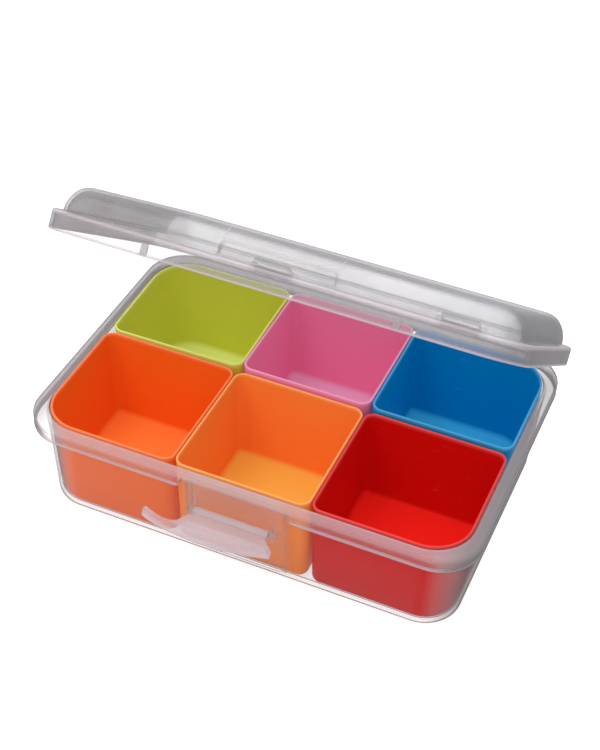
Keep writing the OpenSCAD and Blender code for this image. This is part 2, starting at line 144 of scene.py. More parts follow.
class CaddyLatchSizes(bpy.types.PropertyGroup):
    """Sizes of the latch, in its closed place."""

    width: length("Width", 36.4, "Width of the hinge barrel")
    barrel: length("Barrel", 2.1, "Radius of the hinge barrel")
    pin: length("Pin", 1.3, "Radius of the hinge pins")
    inset: length("Face offset", 1.0, "From the axis out to the back of the flap")
    thick: length("Thickness", 1.5, "Thickness of the flap")
    reach: length("Length", 26.4, "From the axis to the crown of the free edge")
    bow: length("Bow", 49, "Radius of the free edge")
    bow_place: length("Bow place", 5.3, "How far left of the middle the crown is")
    right: length("Right flare", 33, "How far right the flap would flare at its crown")
    left: length("Thumb tab", 36.6, "How far left the thumb tab reaches")
    tab: length("Tab width", 2.4, "Width of the thumb tab")
    hollow: length("Tab hollow", 4.5, "Radius of the hollow beside the thumb tab")
    lip: length("Lip width", 3, "Width of the thickened lip")
    lip_out: length("Lip height", 2.2, "How far the lip stands out of the flap")
    ear: length("Ear thickness", 2.5, "Thickness of the ears beside the barrel")
    gap: length("Ear gap", 0.3, "Gap between the barrel and an ear")


class CaddyHingeSizes(bpy.types.PropertyGroup):
    """Sizes of the two hinges behind the lid."""

    place: length("Place", 52, "From the middle to each hinge")
    hook: length("Hook width", 20, "Width of a hook on the lid")
    pin: length("Pin", 1.9, "Radius of the pins")
    play: length("Play", 0.06, "Running clearance of the pins")
    hook_wall: length("Hook wall", 1.7, "Wall of the hook round the pin")
    mouth: length("Mouth", 2.6, "Width of the snap mouth")
    ear: length("Ear thickness", 2.5, "Thickness of an ear")
    ear_radius: length("Ear radius", 3.3, "Radius of an ear's round end")
    gap: length("Ear gap", 0.3, "Gap between the hook and an ear")


class CaddyLook(bpy.types.PropertyGroup):
    """Colours and finishes, with the painted light and shade among them."""

    haze: colour("Haze", (0.66, 0.58, 0.60), "Milky tint of the clear plastic")
    lid_tint: colour("Lid haze colour", (0.33, 0.32, 0.34), "Milky tint of the lid")
    # Painted highlight: marked edges of the clear plastic lighten towards this colour. The latch
    # also takes it as its milky tint.
    glow: colour("Edge glow", (0.66, 0.56, 0.60), "Light that gathers in its edges")
    tub_shade: colour("Tub shade", (0.07, 0.045, 0.05), "What the tub shows where it turns away")
    # Painted shade: the rim beside and behind the cups turns greyer and denser, as less light
    # falls there than at the front.
    rim_side_shade: colour("Rim side", (0.27, 0.255, 0.26),
                     "What the rim shows beside and behind the cups")
    lid_shade: colour("Lid shade", (0.25, 0.24, 0.26), "What the lid shows where it turns away")
    tub_haze: amount("Tub haze", 0.009, "How milky each face of the tub is")
    lid_haze: amount("Lid haze", 0.24, "How milky each face of the lid is")
    latch_haze: amount("Latch haze", 0.11, "How milky each face of the latch is")
    # Each cup has a wall colour and a floor colour. The floor colour is painted light: lighter
    # than the walls, as the floor catches the light from above. The painted highlight on the lips
    # and the scuffs are drawn from it too.
    red_orange: colour("Red-orange", (0.80, 0.125, 0.010), "Front left cup")
    red_orange_floor: colour("Red-orange floor", (0.95, 0.24, 0.045), "Its floor")
    orange: colour("Orange", (0.86, 0.22, 0.037), "Front middle cup")
    orange_floor: colour("Orange floor", (0.86, 0.50, 0.08), "Its floor")
    red: colour("Red", (0.55, 0.004, 0.003), "Front right cup")
    red_floor: colour("Red floor", (0.92, 0.018, 0.012), "Its floor")
    lime: colour("Lime", (0.57, 0.58, 0.060), "Back left cup")
    lime_floor: colour("Lime floor", (0.78, 0.87, 0.26), "Its floor")
    pink: colour("Pink", (0.80, 0.215, 0.39), "Back middle cup")
    pink_floor: colour("Pink floor", (0.80, 0.44, 0.66), "Its floor")
    blue: colour("Blue", (0.0, 0.22, 0.52), "Back right cup")
    blue_floor: colour("Blue floor", (0.05, 0.50, 0.80), "Its floor")


# --------------------------------------------------------------------- node building

class Value:
    """A node's output that takes part in sums: each operator adds one Math node."""

    def __init__(self, tree, socket):
        self.tree = tree
        self.socket = socket

    def math(self, operation, *others):
        """This value and others through one Math node."""
        return math_node(self.tree, operation, self, *others)

    def __add__(self, other):
        return self.math("ADD", other)

    def __sub__(self, other):
        return self.math("SUBTRACT", other)

    def __rsub__(self, other):
        return math_node(self.tree, "SUBTRACT", other, self)

    def __mul__(self, other):
        return self.math("MULTIPLY", other)

    def __gt__(self, other):
        return self.math("GREATER_THAN", other)

    __radd__ = __add__
    __rmul__ = __mul__

    def eased(self, low, high):
        """Nothing below low, all above high, and a soft step between them."""
        step = add_node(self.tree, "ShaderNodeMapRange", {"interpolation_type": "SMOOTHSTEP"},
                        {"Value": self, "From Min": low, "From Max": high})
        return Value(self.tree, step.outputs[0])

    def limited(self, low=0.0, high=1.0):
        """This value, kept between low and high."""
        return self.math("MAXIMUM", low).math("MINIMUM", high)


def math_node(tree, operation, *values):
    """The result of one Math node."""
    node = add_node(tree, "ShaderNodeMath", {"operation": operation}, dict(enumerate(values)))
    return Value(tree, node.outputs[0])


def plug(tree, socket, item):
    """Links an output to a socket, or sets the socket's own value."""
    if isinstance(item, Value):
        tree.links.new(item.socket, socket)
    elif isinstance(item, bpy.types.NodeSocket):
        tree.links.new(item, socket)
    else:
        socket.default_value = item


def add_node(tree, kind, settings=None, inputs=None):
    """Adds one node. Its settings are set first, then its sockets, by name or by place."""
    node = tree.nodes.new(kind)
    for name, setting in (settings or {}).items():
        setattr(node, name, setting)
    for key, item in (inputs or {}).items():
        plug(tree, node.inputs[key], item)
    return node


def named_value(tree, name):
    """A number that the mesh carries at each point, in a material."""
    node = add_node(tree, "ShaderNodeAttribute", {"attribute_name": name})
    return Value(tree, node.outputs["Fac"])


def split(tree, vector):
    """A vector's X, Y and Z."""
    node = add_node(tree, "ShaderNodeSeparateXYZ", None, {0: vector})
    return [Value(tree, node.outputs[axis]) for axis in "XYZ"]


def noise(tree, place, scale, detail=3.0):
    """Soft noise over the object, about 0.5 on average."""
    inputs = {"Vector": place, "Scale": scale, "Detail": detail}
    node = add_node(tree, "ShaderNodeTexNoise", {"noise_dimensions": "3D"}, inputs)
    return Value(tree, node.outputs["Fac"])


def blend(tree, share, first, second):
    """One colour fading to another."""
    node = add_node(tree, "ShaderNodeMix", {"data_type": "RGBA"}, {0: share})
    plug(tree, node.inputs[6], first)
    plug(tree, node.inputs[7], second)
    return node.outputs[2]


def bump(tree, height, strength, distance):
    """A surface's fine relief."""
    inputs = {"Height": height, "Strength": strength, "Distance": distance}
    return add_node(tree, "ShaderNodeBump", None, inputs).outputs["Normal"]


def object_place(tree, scale=(1, 1, 1)):
    """Object coordinates, stretched."""
    source = add_node(tree, "ShaderNodeTexCoord").outputs["Object"]
    return add_node(tree, "ShaderNodeMapping", None, {"Vector": source, "Scale": scale}).outputs[0]


def new_material(name):
    """An empty material, its tree and its Principled shader."""
    material = bpy.data.materials.new(name)
    material.use_nodes = True
    tree = material.node_tree
    return material, tree, tree.nodes["Principled BSDF"]


def opaque(rgb, whiter=0.0):
    """A colour with full alpha, part of the way to white."""
    return (*(channel + (1 - channel) * whiter for channel in rgb), 1.0)


def set_alike(shader, settings):
    """Sets the sockets that are alike all over the surface."""
    for socket, setting in settings.items():
        shader.inputs[socket].default_value = setting


def mix_into_surface(tree, share, first, second):
    """Ends a material in two shaders mixed."""
    mix = add_node(tree, "ShaderNodeMixShader", None,
                   {0: share, 1: first.outputs[0], 2: second.outputs[0]})
    plug(tree, tree.nodes["Material Output"].inputs["Surface"], mix.outputs[0])


# ------------------------------------------------------------------------- materials

PLASTIC_IOR = 1.49
FLOW = (6, 26, 26)                  # makes the flow streaks run along X
TURNED = (0.34, 0.86)               # of the facing: where a face greys as it turns away
# the sides that face right, away from the light, take painted shade
RIGHTWARD = (0.2, 0.8)              # of the normal's X: where a face faces right
# the tub's foot takes painted shade: a denser dark outline where its faces turn away
FOOT_LEVELS = (0.5 * MM, 5 * MM)    # where the tub's foot is denser
BESIDE = (90 * MM, 107 * MM)        # from the middle, where the rim is beside the cups
BEHIND = (56 * MM, 74 * MM)         # from the middle, where the rim is behind the cups
STREAK_SHARE, CLOUD_SHARE = 0.9, 0.7    # how much of the haze these take away or add
EDGE_ALPHA = 0.60                   # how dense a marked edge is
TURNED_ALPHA, FOOT_ALPHA = 0.42, 0.5    # what a face that turns away adds, and at the foot
# the rim's painted shade beside and behind the cups also makes it denser
RIM_ALPHA = 0.36                    # what the rim adds beside and behind the cups
DEEP = 0.35                         # the deepest shade, as a share of the shade


def clear_plastic(name, look, haze, tint, shade, sheen=0.001, glare=0.14, side_shade=0.0, rim_shade=0.0):
    """Milky clear plastic: flow streaks, marked edges that are denser and take a painted
    highlight, and painted shade, a deeper grey where it turns away. sheen and glare are its gloss
    seen straight on and at a slant. The last two amounts paint shade: how much deeper still it
    gets on the sides that face right, away from the light, and how much greyer and denser its rim
    gets beside and behind the cups."""
    material, tree, shader = new_material(name)
    here = object_place(tree)
    streaks = noise(tree, object_place(tree, FLOW), 3.0)
    clouds = noise(tree, here, 38.0)
    edge = named_value(tree, "edge")
    layers = add_node(tree, "ShaderNodeLayerWeight", None, {"Blend": 0.5})
    facing = Value(tree, layers.outputs["Facing"])
    surface = add_node(tree, "ShaderNodeNewGeometry")
    right, _, _ = split(tree, surface.outputs["Normal"])
    x, y, z = split(tree, here)

    turned = facing.eased(*TURNED)
    shaded = (turned * (0.85 - 0.5 * edge)).limited()
    # painted shade: faces that face right, away from the light, get denser and darker
    away = side_shade * right.eased(*RIGHTWARD) * (1 - Value(tree, surface.outputs["Backfacing"]))
    away = away * (1 - edge).limited()
    foot = 1 - z.eased(*FOOT_LEVELS)
    # painted shade on the rim beside and behind the cups
    around_cups = x.math("ABSOLUTE").eased(*BESIDE).math("MAXIMUM", y.eased(*BEHIND))
    rim = around_cups * (edge * 5.0).limited() * rim_shade

    # painted highlight: marked edges lighten towards the edge glow colour
    body = blend(tree, (edge * 0.9).limited(), opaque(tint), opaque(look.glow))
    body = blend(tree, shaded, body, opaque(shade))
    # painted shade on the sides that face right, down to the deepest shade
    body = blend(tree, (away * 1.8).limited(), body, opaque([c * DEEP for c in shade]))
    plug(tree, shader.inputs["Base Color"], blend(tree, rim, body, opaque(look.rim_side_shade)))

    alpha = haze + haze * STREAK_SHARE * (streaks - 0.5) + haze * CLOUD_SHARE * (clouds - 0.5)
    # denser at marked edges and where a face turns away, most at the tub's foot, whose painted
    # shade makes a dark outline
    alpha = alpha + edge * (EDGE_ALPHA - haze) + turned * (TURNED_ALPHA + FOOT_ALPHA * foot)
    alpha = alpha + away + RIM_ALPHA * rim
    plug(tree, shader.inputs["Alpha"], alpha.limited(0.01, 0.95))
    relief = bump(tree, streaks + clouds, 0.05, 0.4 * MM)
    plug(tree, shader.inputs["Normal"], relief)
    plug(tree, shader.inputs["Roughness"], 0.15 + 0.2 * clouds)
    set_alike(shader, {"IOR": PLASTIC_IOR, "Specular IOR Level": 0.0})
    gloss = add_node(tree, "ShaderNodeBsdfGlossy", None, {"Roughness": 0.11, "Normal": relief})
    mix_into_surface(tree, sheen + glare * facing.math("POWER", 4.0), shader, gloss)
    return material


def cup_plastic(name, wall, floor):
    """Coloured plastic: satin moulded grain and faint scuffs, with painted highlights on its lips,
    painted light on its floor, which is lighter as it catches the light from above, and a faint
    painted glow.
    """
    material, tree, shader = new_material(name)
    here = object_place(tree)
    grain = noise(tree, here, 900.0, 2.0)
    clouds = noise(tree, here, 30.0)
    scuffs = noise(tree, object_place(tree, (1, 4, 4)), 160.0, 6.0)
    marks = ((scuffs - 0.66) * 6.0).limited() * 0.10
    # painted light: the floor takes the lighter floor colour, as it catches the light from above
    on_floor = named_value(tree, "floor") + 0.12 * (clouds - 0.5)
    # painted highlight along the lips
    on_lip = named_value(tree, "lip") * 0.35
    body = blend(tree, on_floor.limited(), opaque(wall), opaque(floor))
    body = blend(tree, marks, body, opaque(floor, whiter=0.5))
    body = blend(tree, on_lip, body, opaque(floor, whiter=0.16))
    plug(tree, shader.inputs["Base Color"], body)
    # painted glow: the cup gives off its own colour faintly, at the emission strength set below,
    # which lifts its shaded walls
    plug(tree, shader.inputs["Emission Color"], body)
    plug(tree, shader.inputs["Roughness"], 0.30 + 0.14 * clouds + marks)
    plug(tree, shader.inputs["Normal"], bump(tree, grain + clouds * 0.6, 0.08, 0.15 * MM))
    set_alike(shader, {"Emission Strength": 0.11, "IOR": PLASTIC_IOR, "Specular IOR Level": 0.035,
                       "Coat Weight": 0.015, "Coat Roughness": 0.12})
    return material


def seen_rays(tree):
    """One where the camera looks, straight, in gloss or through clear stuff, else nothing."""
    path = add_node(tree, "ShaderNodeLightPath")
    rays = ("Is Camera Ray", "Is Glossy Ray", "Is Transmission Ray")
    straight, gloss, through = (Value(tree, path.outputs[ray]) for ray in rays)
    return (straight + gloss + through).limited()


def backdrop_paper(name):
    """Pale paper that keeps the object's shadow and is white where it is seen."""
    material, tree, shader = new_material(name)
    fibres = noise(tree, object_place(tree), 400.0)
    paper = blend(tree, fibres, (0.70, 0.70, 0.71, 1), (0.74, 0.74, 0.74, 1))
    plug(tree, shader.inputs["Base Color"], paper)
    set_alike(shader, {"Roughness": 0.9, "Specular IOR Level": 0.1})
    white = add_node(tree, "ShaderNodeEmission", None, {"Color": (1, 1, 1, 1), "Strength": 0.68})
    lifted = add_node(tree, "ShaderNodeAddShader", None,
                      {0: shader.outputs[0], 1: white.outputs[0]})
    mix_into_surface(tree, seen_rays(tree), shader, lifted)
    return material


# -------------------------------------------------------------------------- meshing

def arc(x, z, radius, first, last, steps=EDGE_STEPS):
    """Points (x, z) along an arc, from one angle to another, in degrees."""
    angles = [math.radians(first + (last - first) * i / steps) for i in range(steps + 1)]
    return [(x + radius * math.cos(a), z + radius * math.sin(a)) for a in angles]


def turns():
    """(side in x, side in y, direction) of the points round a rectangle's rounded corners,
    anticlockwise from its front left corner."""
    return [(x, y, math.radians(180 + 90 * corner + 90 * k / CORNER_STEPS))
            for corner, (x, y) in enumerate(((-1, -1), (1, -1), (1, 1), (-1, 1)))
            for k in range(CORNER_STEPS + 1)]


def ring(half_x, front, back, radius, z, stations=()):
    """Points round a rounded rectangle, in the order of turns. stations are further places
    along the front side."""
    points = []
    for side_x, side_y, a in turns():
        x = side_x * (half_x - radius)
        y = front + radius if side_y < 0 else back - radius
        points.append(Vector((x + radius * math.cos(a), y + radius * math.sin(a), z)))
    front_side = CORNER_STEPS + 1
    points[front_side:front_side] = [Vector((station, front, z)) for station in stations]
    return points


def mark(mesh, name, values):
    """Gives each point of a mesh a number."""
    mesh.attributes.new(name, "FLOAT", "POINT").data.foreach_set("value", values)


def glow_at(mesh, values):
    """Gives some points, {index: value}, an edge glow of their own."""
    glow = mesh.attributes["edge"].data
    for i, value in values.items():
        glow[i].value = value


def loft(name, rings, marks):
    """A closed skin over rings of points, from the one underneath to the one inside or on
    top. marks gives each ring's value of each named attribute."""
    count = len(rings[0])
    top = count * (len(rings) - 1)
    faces = [tuple(reversed(range(count)))]
    for low in range(0, top, count):
        for k in range(count):
            after = (k + 1) % count
            faces.append((low + k, low + after, low + count + after, low + count + k))
    faces.append(tuple(range(top, top + count)))
    mesh = bpy.data.meshes.new(name)
    mesh.from_pydata([point for points in rings for point in points], [], faces)
    for attribute, values in marks.items():
        mark(mesh, attribute, [value for value in values for _ in range(count)])
    return mesh


def span(name, first, last):
    """A closed skin between two outlines that have a point each for each point."""
    count = len(first)
    faces = [tuple(reversed(range(count))), tuple(range(count, 2 * count))]
    faces += [(k, (k + 1) % count, count + (k + 1) % count, count + k) for k in range(count)]
    mesh = bpy.data.meshes.new(name)
    mesh.from_pydata(first + last, [], faces)
    return mesh


def prism(name, outline, x0, x1):
    """A solid whose outline, points (y, z) listed anticlockwise from +X, runs along X."""
    return span(name, *([Vector((x, y, z)) for y, z in outline] for x in (x0, x1)))


def join_meshes(name, meshes):
    """Several meshes in one, as they lie."""
    points, faces = [], []
    for mesh in meshes:
        start = len(points)
        points += [v.co.copy() for v in mesh.vertices]
        faces += [tuple(start + i for i in face.vertices) for face in mesh.polygons]
    joined = bpy.data.meshes.new(name)
    joined.from_pydata(points, [], faces)
    return joined


def swing(mesh, axis, angle):
    """Turns a mesh about a line along X through axis."""
    there, back = Matrix.Translation(axis), Matrix.Translation(-axis)
    mesh.transform(there @ Matrix.Rotation(angle, 4, "X") @ back)


def put(name, mesh, material=None):
    """An object for a mesh, smooth but for its sharp edges."""
    mesh.shade_smooth()
    mesh.set_sharp_from_angle(angle=SHARP)
    piece = bpy.data.objects.new(name, mesh)
    bpy.context.scene.collection.objects.link(piece)
    if material:
        mesh.materials.clear()
        mesh.materials.append(material)
    return piece


def settle(name, piece, material=None):
    """The piece as its modifiers leave it, as a plain mesh object."""
    shaped = piece.evaluated_get(bpy.context.evaluated_depsgraph_get())
    mesh = bpy.data.meshes.new_from_object(shaped)
    bpy.data.objects.remove(piece)
    return put(name, mesh, material)


def modify(piece, name, kind, **settings):
    """Adds a modifier with its settings."""
    modifier = piece.modifiers.new(name, kind)
    for key, setting in settings.items():
        setattr(modifier, key, setting)
    return modifier


def soften(piece, width, segments=2):
    """Rounds a piece's sharp edges."""
    modify(piece, "Soft edges", "BEVEL", width=width, segments=segments,
           limit_method="ANGLE", angle_limit=math.radians(35))


def soft_bar(name, outline, width, edge, material=None):
    """A bar across the middle with soft edges, from an outline as a prism's."""
    bar = put(name, prism(name, outline, -width / 2, width / 2))
    soften(bar, edge)
    return settle(name, bar, material)


def round_bar(name, width, axis, radius, material=None, steps=36):
    """A round bar across the middle, along an axis."""
    circle = arc(axis.y, axis.z, radius, 0, 360 - 360 / steps, steps - 1)
    return put(name, prism(name, circle, -width / 2, width / 2), material)


def hand_over(piece, body, slot, *nodes):
    """Ties a finished piece to its body and hides the solids it stands for. The slot it is given
    is not used.
    """
    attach(piece, body)
    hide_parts(*nodes)


def shape(piece, tree, inputs):
    """Puts a geometry tree on a piece, its inputs set through their sockets' identifiers."""
    modifier = modify(piece, tree.name, "NODES", node_group=tree)
    sockets = {s.name: s for s in tree.interface.items_tree if s.item_type == "SOCKET"}
    for name, item in inputs.items():
        modifier[sockets[name].identifier] = item


# -------------------------------------------------------------------- geometry trees

def geometry_tree(name, sizes):
    """A geometry tree with named sizes, its group input and its group output."""
    tree = bpy.data.node_groups.new(name, "GeometryNodeTree")
    face = tree.interface
    face.new_socket("Geometry", in_out="INPUT", socket_type="NodeSocketGeometry")
    for size, kind in sizes.items():
        face.new_socket(size, in_out="INPUT", socket_type=kind)
    face.new_socket("Geometry", in_out="OUTPUT", socket_type="NodeSocketGeometry")
    given = tree.nodes.new("NodeGroupInput")
    result = tree.nodes.new("NodeGroupOutput")
    return tree, given, result


def close_tree(tree, geometry, material, result):
    """Ends a geometry tree in Realize Instances and Set Material."""
    real = add_node(tree, "GeometryNodeRealizeInstances", None, {0: geometry})
    dressed = add_node(tree, "GeometryNodeSetMaterial", None,
                       {"Geometry": real.outputs[0], "Material": material})
    tree.links.new(dressed.outputs[0], result.inputs[0])


def row_tree():
    """Copies a piece along X: two ears, two hooks, two pegs."""
    sizes = {"Piece": "NodeSocketObject", "Material": "NodeSocketMaterial",
             "Count": "NodeSocketInt", "First": "NodeSocketFloat", "Step": "NodeSocketFloat"}
    tree, given, result = geometry_tree("Row of pieces", sizes)
    first = add_node(tree, "ShaderNodeCombineXYZ", None, {0: given.outputs["First"]})
    step = add_node(tree, "ShaderNodeCombineXYZ", None, {0: given.outputs["Step"]})
    line = add_node(tree, "GeometryNodeMeshLine", {"mode": "OFFSET"},
                    {"Count": given.outputs["Count"], "Start Location": first.outputs[0],
                     "Offset": step.outputs[0]})
    piece = add_node(tree, "GeometryNodeObjectInfo", None, {"Object": given.outputs["Piece"]})
    copies = add_node(tree, "GeometryNodeInstanceOnPoints", None,
                      {"Points": line.outputs[0], "Instance": piece.outputs["Geometry"]})
    close_tree(tree, copies.outputs[0], given.outputs["Material"], result)
    return tree


def pair(name, pattern, material, place):
    """A pattern object at place on either side of the middle, as one plain mesh."""
    tree = bpy.data.node_groups.get("Row of pieces") or row_tree()
    holder = put(name + ".line", bpy.data.meshes.new(name))
    shape(holder, tree, {"Piece": pattern, "Material": material, "Count": 2,
                         "First": -place, "Step": 2 * place})
    piece = settle(name, holder)
    bpy.data.objects.remove(pattern)
    return piece


CUP_SIDES = ("Left", "Right", "Front", "Back")
CUP_CORNERS = {"Front left": (-1, -1), "Front right": (1, -1),
               "Back right": (1, 1), "Back left": (-1, 1)}


def cup_tree():
    """Shapes a cup from its net: each point carries which corner it belongs to, its
    direction in that corner, how far down the wall it is and how far inside the lip."""
    sizes = {side: "NodeSocketFloat" for side in CUP_SIDES}
    sizes.update({side + " taper": "NodeSocketFloat" for side in CUP_SIDES})
    sizes.update({corner + " radius": "NodeSocketFloat" for corner in CUP_CORNERS})
    sizes.update({"Least radius": "NodeSocketFloat", "Shrink": "NodeSocketFloat",
                  "Slide": "NodeSocketVector", "Turn": "NodeSocketVector",
                  "Material": "NodeSocketMaterial"})
    tree, given, result = geometry_tree("Cup shape", sizes)

    def size(name):
        return Value(tree, given.outputs[name])

    def carried(name):
        node = add_node(tree, "GeometryNodeInputNamedAttribute", {"data_type": "FLOAT"},
                        {"Name": name})
        return Value(tree, node.outputs["Attribute"])

    def either(share, first, second):
        return first + (second - first) * share

    def vector(*parts):
        return add_node(tree, "ShaderNodeCombineXYZ", None, dict(enumerate(parts))).outputs[0]

    def transform(geometry, inputs):
        node = add_node(tree, "GeometryNodeTransform", None, {"Geometry": geometry, **inputs})
        return node.outputs[0]

    side_x, side_y, down, inset = (carried(n) for n in ("side_x", "side_y", "down", "inset"))
    right, rear = side_x > 0.0, side_y > 0.0
    taper_x = either(right, size("Left taper"), size("Right taper"))
    taper_y = either(rear, size("Front taper"), size("Back taper"))
    edge_x = either(right, size("Left"), size("Right")) - side_x * (taper_x * down + inset)
    edge_y = either(rear, size("Front"), size("Back")) - side_y * (taper_y * down + inset)
    front_radius = either(right, size("Front left radius"), size("Front right radius"))
    back_radius = either(right, size("Back left radius"), size("Back right radius"))
    lip_radius = either(rear, front_radius, back_radius)
    shrink = (lip_radius - size("Least radius")).math("MINIMUM", size("Shrink"))
    radius = (lip_radius - shrink * down - inset).math("MAXIMUM", 0.3 * MM)
    x = edge_x - side_x * radius + carried("along_x") * radius
    y = edge_y - side_y * radius + carried("along_y") * radius
    shaped = add_node(tree, "GeometryNodeSetPosition", None,
                      {"Geometry": given.outputs[0], "Position": vector(x, y, carried("level"))})
    centre = vector((size("Left") + size("Right")) * 0.5, (size("Front") + size("Back")) * 0.5)
    home = add_node(tree, "ShaderNodeVectorMath", {"operation": "SCALE"},
                    {0: centre, "Scale": -1.0})
    away = add_node(tree, "ShaderNodeVectorMath", {"operation": "ADD"},
                    {0: centre, 1: given.outputs["Slide"]})
    centred = transform(shaped.outputs[0], {"Translation": home.outputs[0]})
    turned = transform(centred, {"Translation": away.outputs[0],
                                 "Rotation": given.outputs["Turn"]})
    close_tree(tree, turned, given.outputs["Material"], result)
    return tree


WALL_STEPS = (0.35, 0.7, 0.95)      # places up a cup's wall
FLAT = 2 * MM                       # how far a skin runs in on the flat past its last curve


def cup_net(low, high, s):
    """The net that a cup is shaped from. low and high are its lowest and highest levels."""
    wall, under, tall = s.wall, s.floor_round, high - low
    inside, half = under - wall, wall / 2
    floor, rim = low + wall, high - half
    # (how far inside the lip, level, share of floor, share of lip), from the middle of the
    # underside over the lip to the middle of the floor
    outline = [(under + FLAT, low, 0, 0)]
    outline += [(x, z, 0, 0) for x, z in arc(under, low + under, under, 270, 180)]
    outline += [(0, low + tall * share, 0, 0) for share in WALL_STEPS]
    outline += [(x, z, 0, 1) for x, z in arc(half, rim, half, 180, 0, 8)]
    outline += [(wall, rim - 0.5 * MM, 0, 0.5), (wall, high - 2.5 * MM, 0, 0)]
    outline += [(wall, low + tall * share, 0, 0) for share in (0.7, 0.35, 0.2)]
    outline += [(x, z, i / EDGE_STEPS, 0)
                for i, (x, z) in enumerate(arc(under, floor + inside, inside, 180, 270))]
    outline += [(under + FLAT, floor, 1, 0)]
    insets, levels, floors, lips = zip(*outline)
    mesh = loft("Cup net", [ring(1, -1, 1, 0.5, level) for level in levels], {
        "inset": insets, "level": levels, "floor": floors, "lip": lips,
        "down": [(high - level) / tall for level in levels]})
    around = [(x, y, math.cos(a), math.sin(a)) for x, y, a in turns()]
    for name, values in zip(("side_x", "side_y", "along_x", "along_y"), zip(*around)):
        mark(mesh, name, values * len(outline))
    return mesh


# ------------------------------------------------------------------------- the tub

OUTSIDE_LEVELS = (5, 6.2, 7.6, 9, 12, 20, 30, 40, 46, 49.6)     # mm, up the tub's outside
INSIDE_LEVELS = (50.6, 46, 30, 12, 9, 7.6, 6.2)                 # mm, down its inside
FOOT_STEPS = 8      # steps in the rounding of the tub's foot
BEAD_STEPS = 6      # steps round the end of a turned-down edge
NOTCH_PLACES = (-0.02, 0.1, 0.3, 0.7, 1.3, 2, 3, 4.5, 13)       # mm, out from the notch's edge
PANEL_PLACES = (25.2, 24.4, 23.6, 22.8, 22, 21.5, 18, 12, 6)    # mm, out from the middle
HAIR = 0.01 * MM    # less than this is nothing


def curve(inset, corner, level, radius, first, last, steps=EDGE_STEPS, glow=0):
    """An arc as a part of an outline: what is further in has a smaller corner."""
    return [(inset + dx, corner - dx, level + dz, glow)
            for dx, dz in arc(0, 0, radius, first, last, steps)]


def within(value):
    """A share, kept between nothing and all."""
    return max(0.0, min(1.0, value))


def tub_outline(s):
    """(inset from the rim's edge, corner radius, level, edge glow) of the tub's rings, from
    the flat underside, up the outside, over the rim and down to the floor inside."""
    top = s.height
    body = s.reach - s.wall
    corner = s.corner - s.wall / 2
    seat = top - s.rim
    foot = s.base_round

    def outer(z):
        low, high = foot, seat + s.rim / 2
        narrower = s.draft * within((high - z) / (high - low))
        return body + narrower, corner + s.wall - narrower

    def inner(z):
        low, high = s.wall + foot, top
        narrower = s.draft * within((high - z) / (high - low))
        return s.reach + narrower, corner - narrower

    foot_in, foot_r = outer(foot)
    points = [(foot_in + foot + FLAT, foot_r - foot - FLAT, 0, 0)]
    points += curve(foot_in + foot, foot_r - foot, foot, foot, 270, 180, FOOT_STEPS)
    points += [(*outer(z * MM), z * MM, 0) for z in OUTSIDE_LEVELS]

    neck, neck_r = outer(seat)
    skirt_in, skirt = s.skirt_wall, top - s.skirt
    half = skirt_in / 2
    points += [(neck, neck_r, seat - 0.7 * MM, 0), (neck - 0.7 * MM, neck_r - 0.4 * MM, seat, 0),
               (skirt_in + 0.5 * MM, s.corner - skirt_in - 0.5 * MM, seat, 0),
               (skirt_in, s.corner - skirt_in, seat - 0.5 * MM, 0.1),
               (skirt_in, s.corner - skirt_in, skirt + 1.4 * MM, 0.2)]
    points += curve(half, s.corner - half, skirt + half, half, 0, -180, BEAD_STEPS, 1)
    points += [(0, s.corner, skirt + 1.3 * MM, 0.35), (0, s.corner, skirt + 2.2 * MM, 0.1),
               (0, s.corner, top - 2.6 * MM, 0.1)]

    edge, lip = 1.1 * MM, 0.8 * MM
    points += curve(edge, s.corner - edge, top - edge, edge, 180, 90, glow=0.55)
    points += [(edge + 0.7 * MM, s.corner - edge - 0.7 * MM, top, 0.65),
               (s.reach - lip - 1.2 * MM, corner + 1.6 * MM, top, 0.65)]
    points += curve(s.reach - lip, corner + lip, top - lip, lip, 90, 0, glow=0.75)

    points += [(*inner(z * MM), z * MM, 0) for z in INSIDE_LEVELS]
    floor_in, floor_r = inner(s.wall + foot)
    points += curve(floor_in + foot, floor_r - foot, s.wall + foot, foot, 180, 270, FOOT_STEPS)
    points.append((floor_in + foot + FLAT, floor_r - foot - FLAT, s.wall, 0))
    return points


def panel_bulge(s, x, z, inner):
    """How far the latch panel pushes the front wall out at a place on it."""
    wall = s.wall if inner else 0.0
    half, face = s.panel / 2 - wall, s.panel_face / 2 - wall
    across = within((half - abs(x)) / (half - face))
    across = across * across * (3 - 2 * across)
    up = within((z - s.panel_foot - wall) / s.panel_out)
    return s.panel_out * across * up


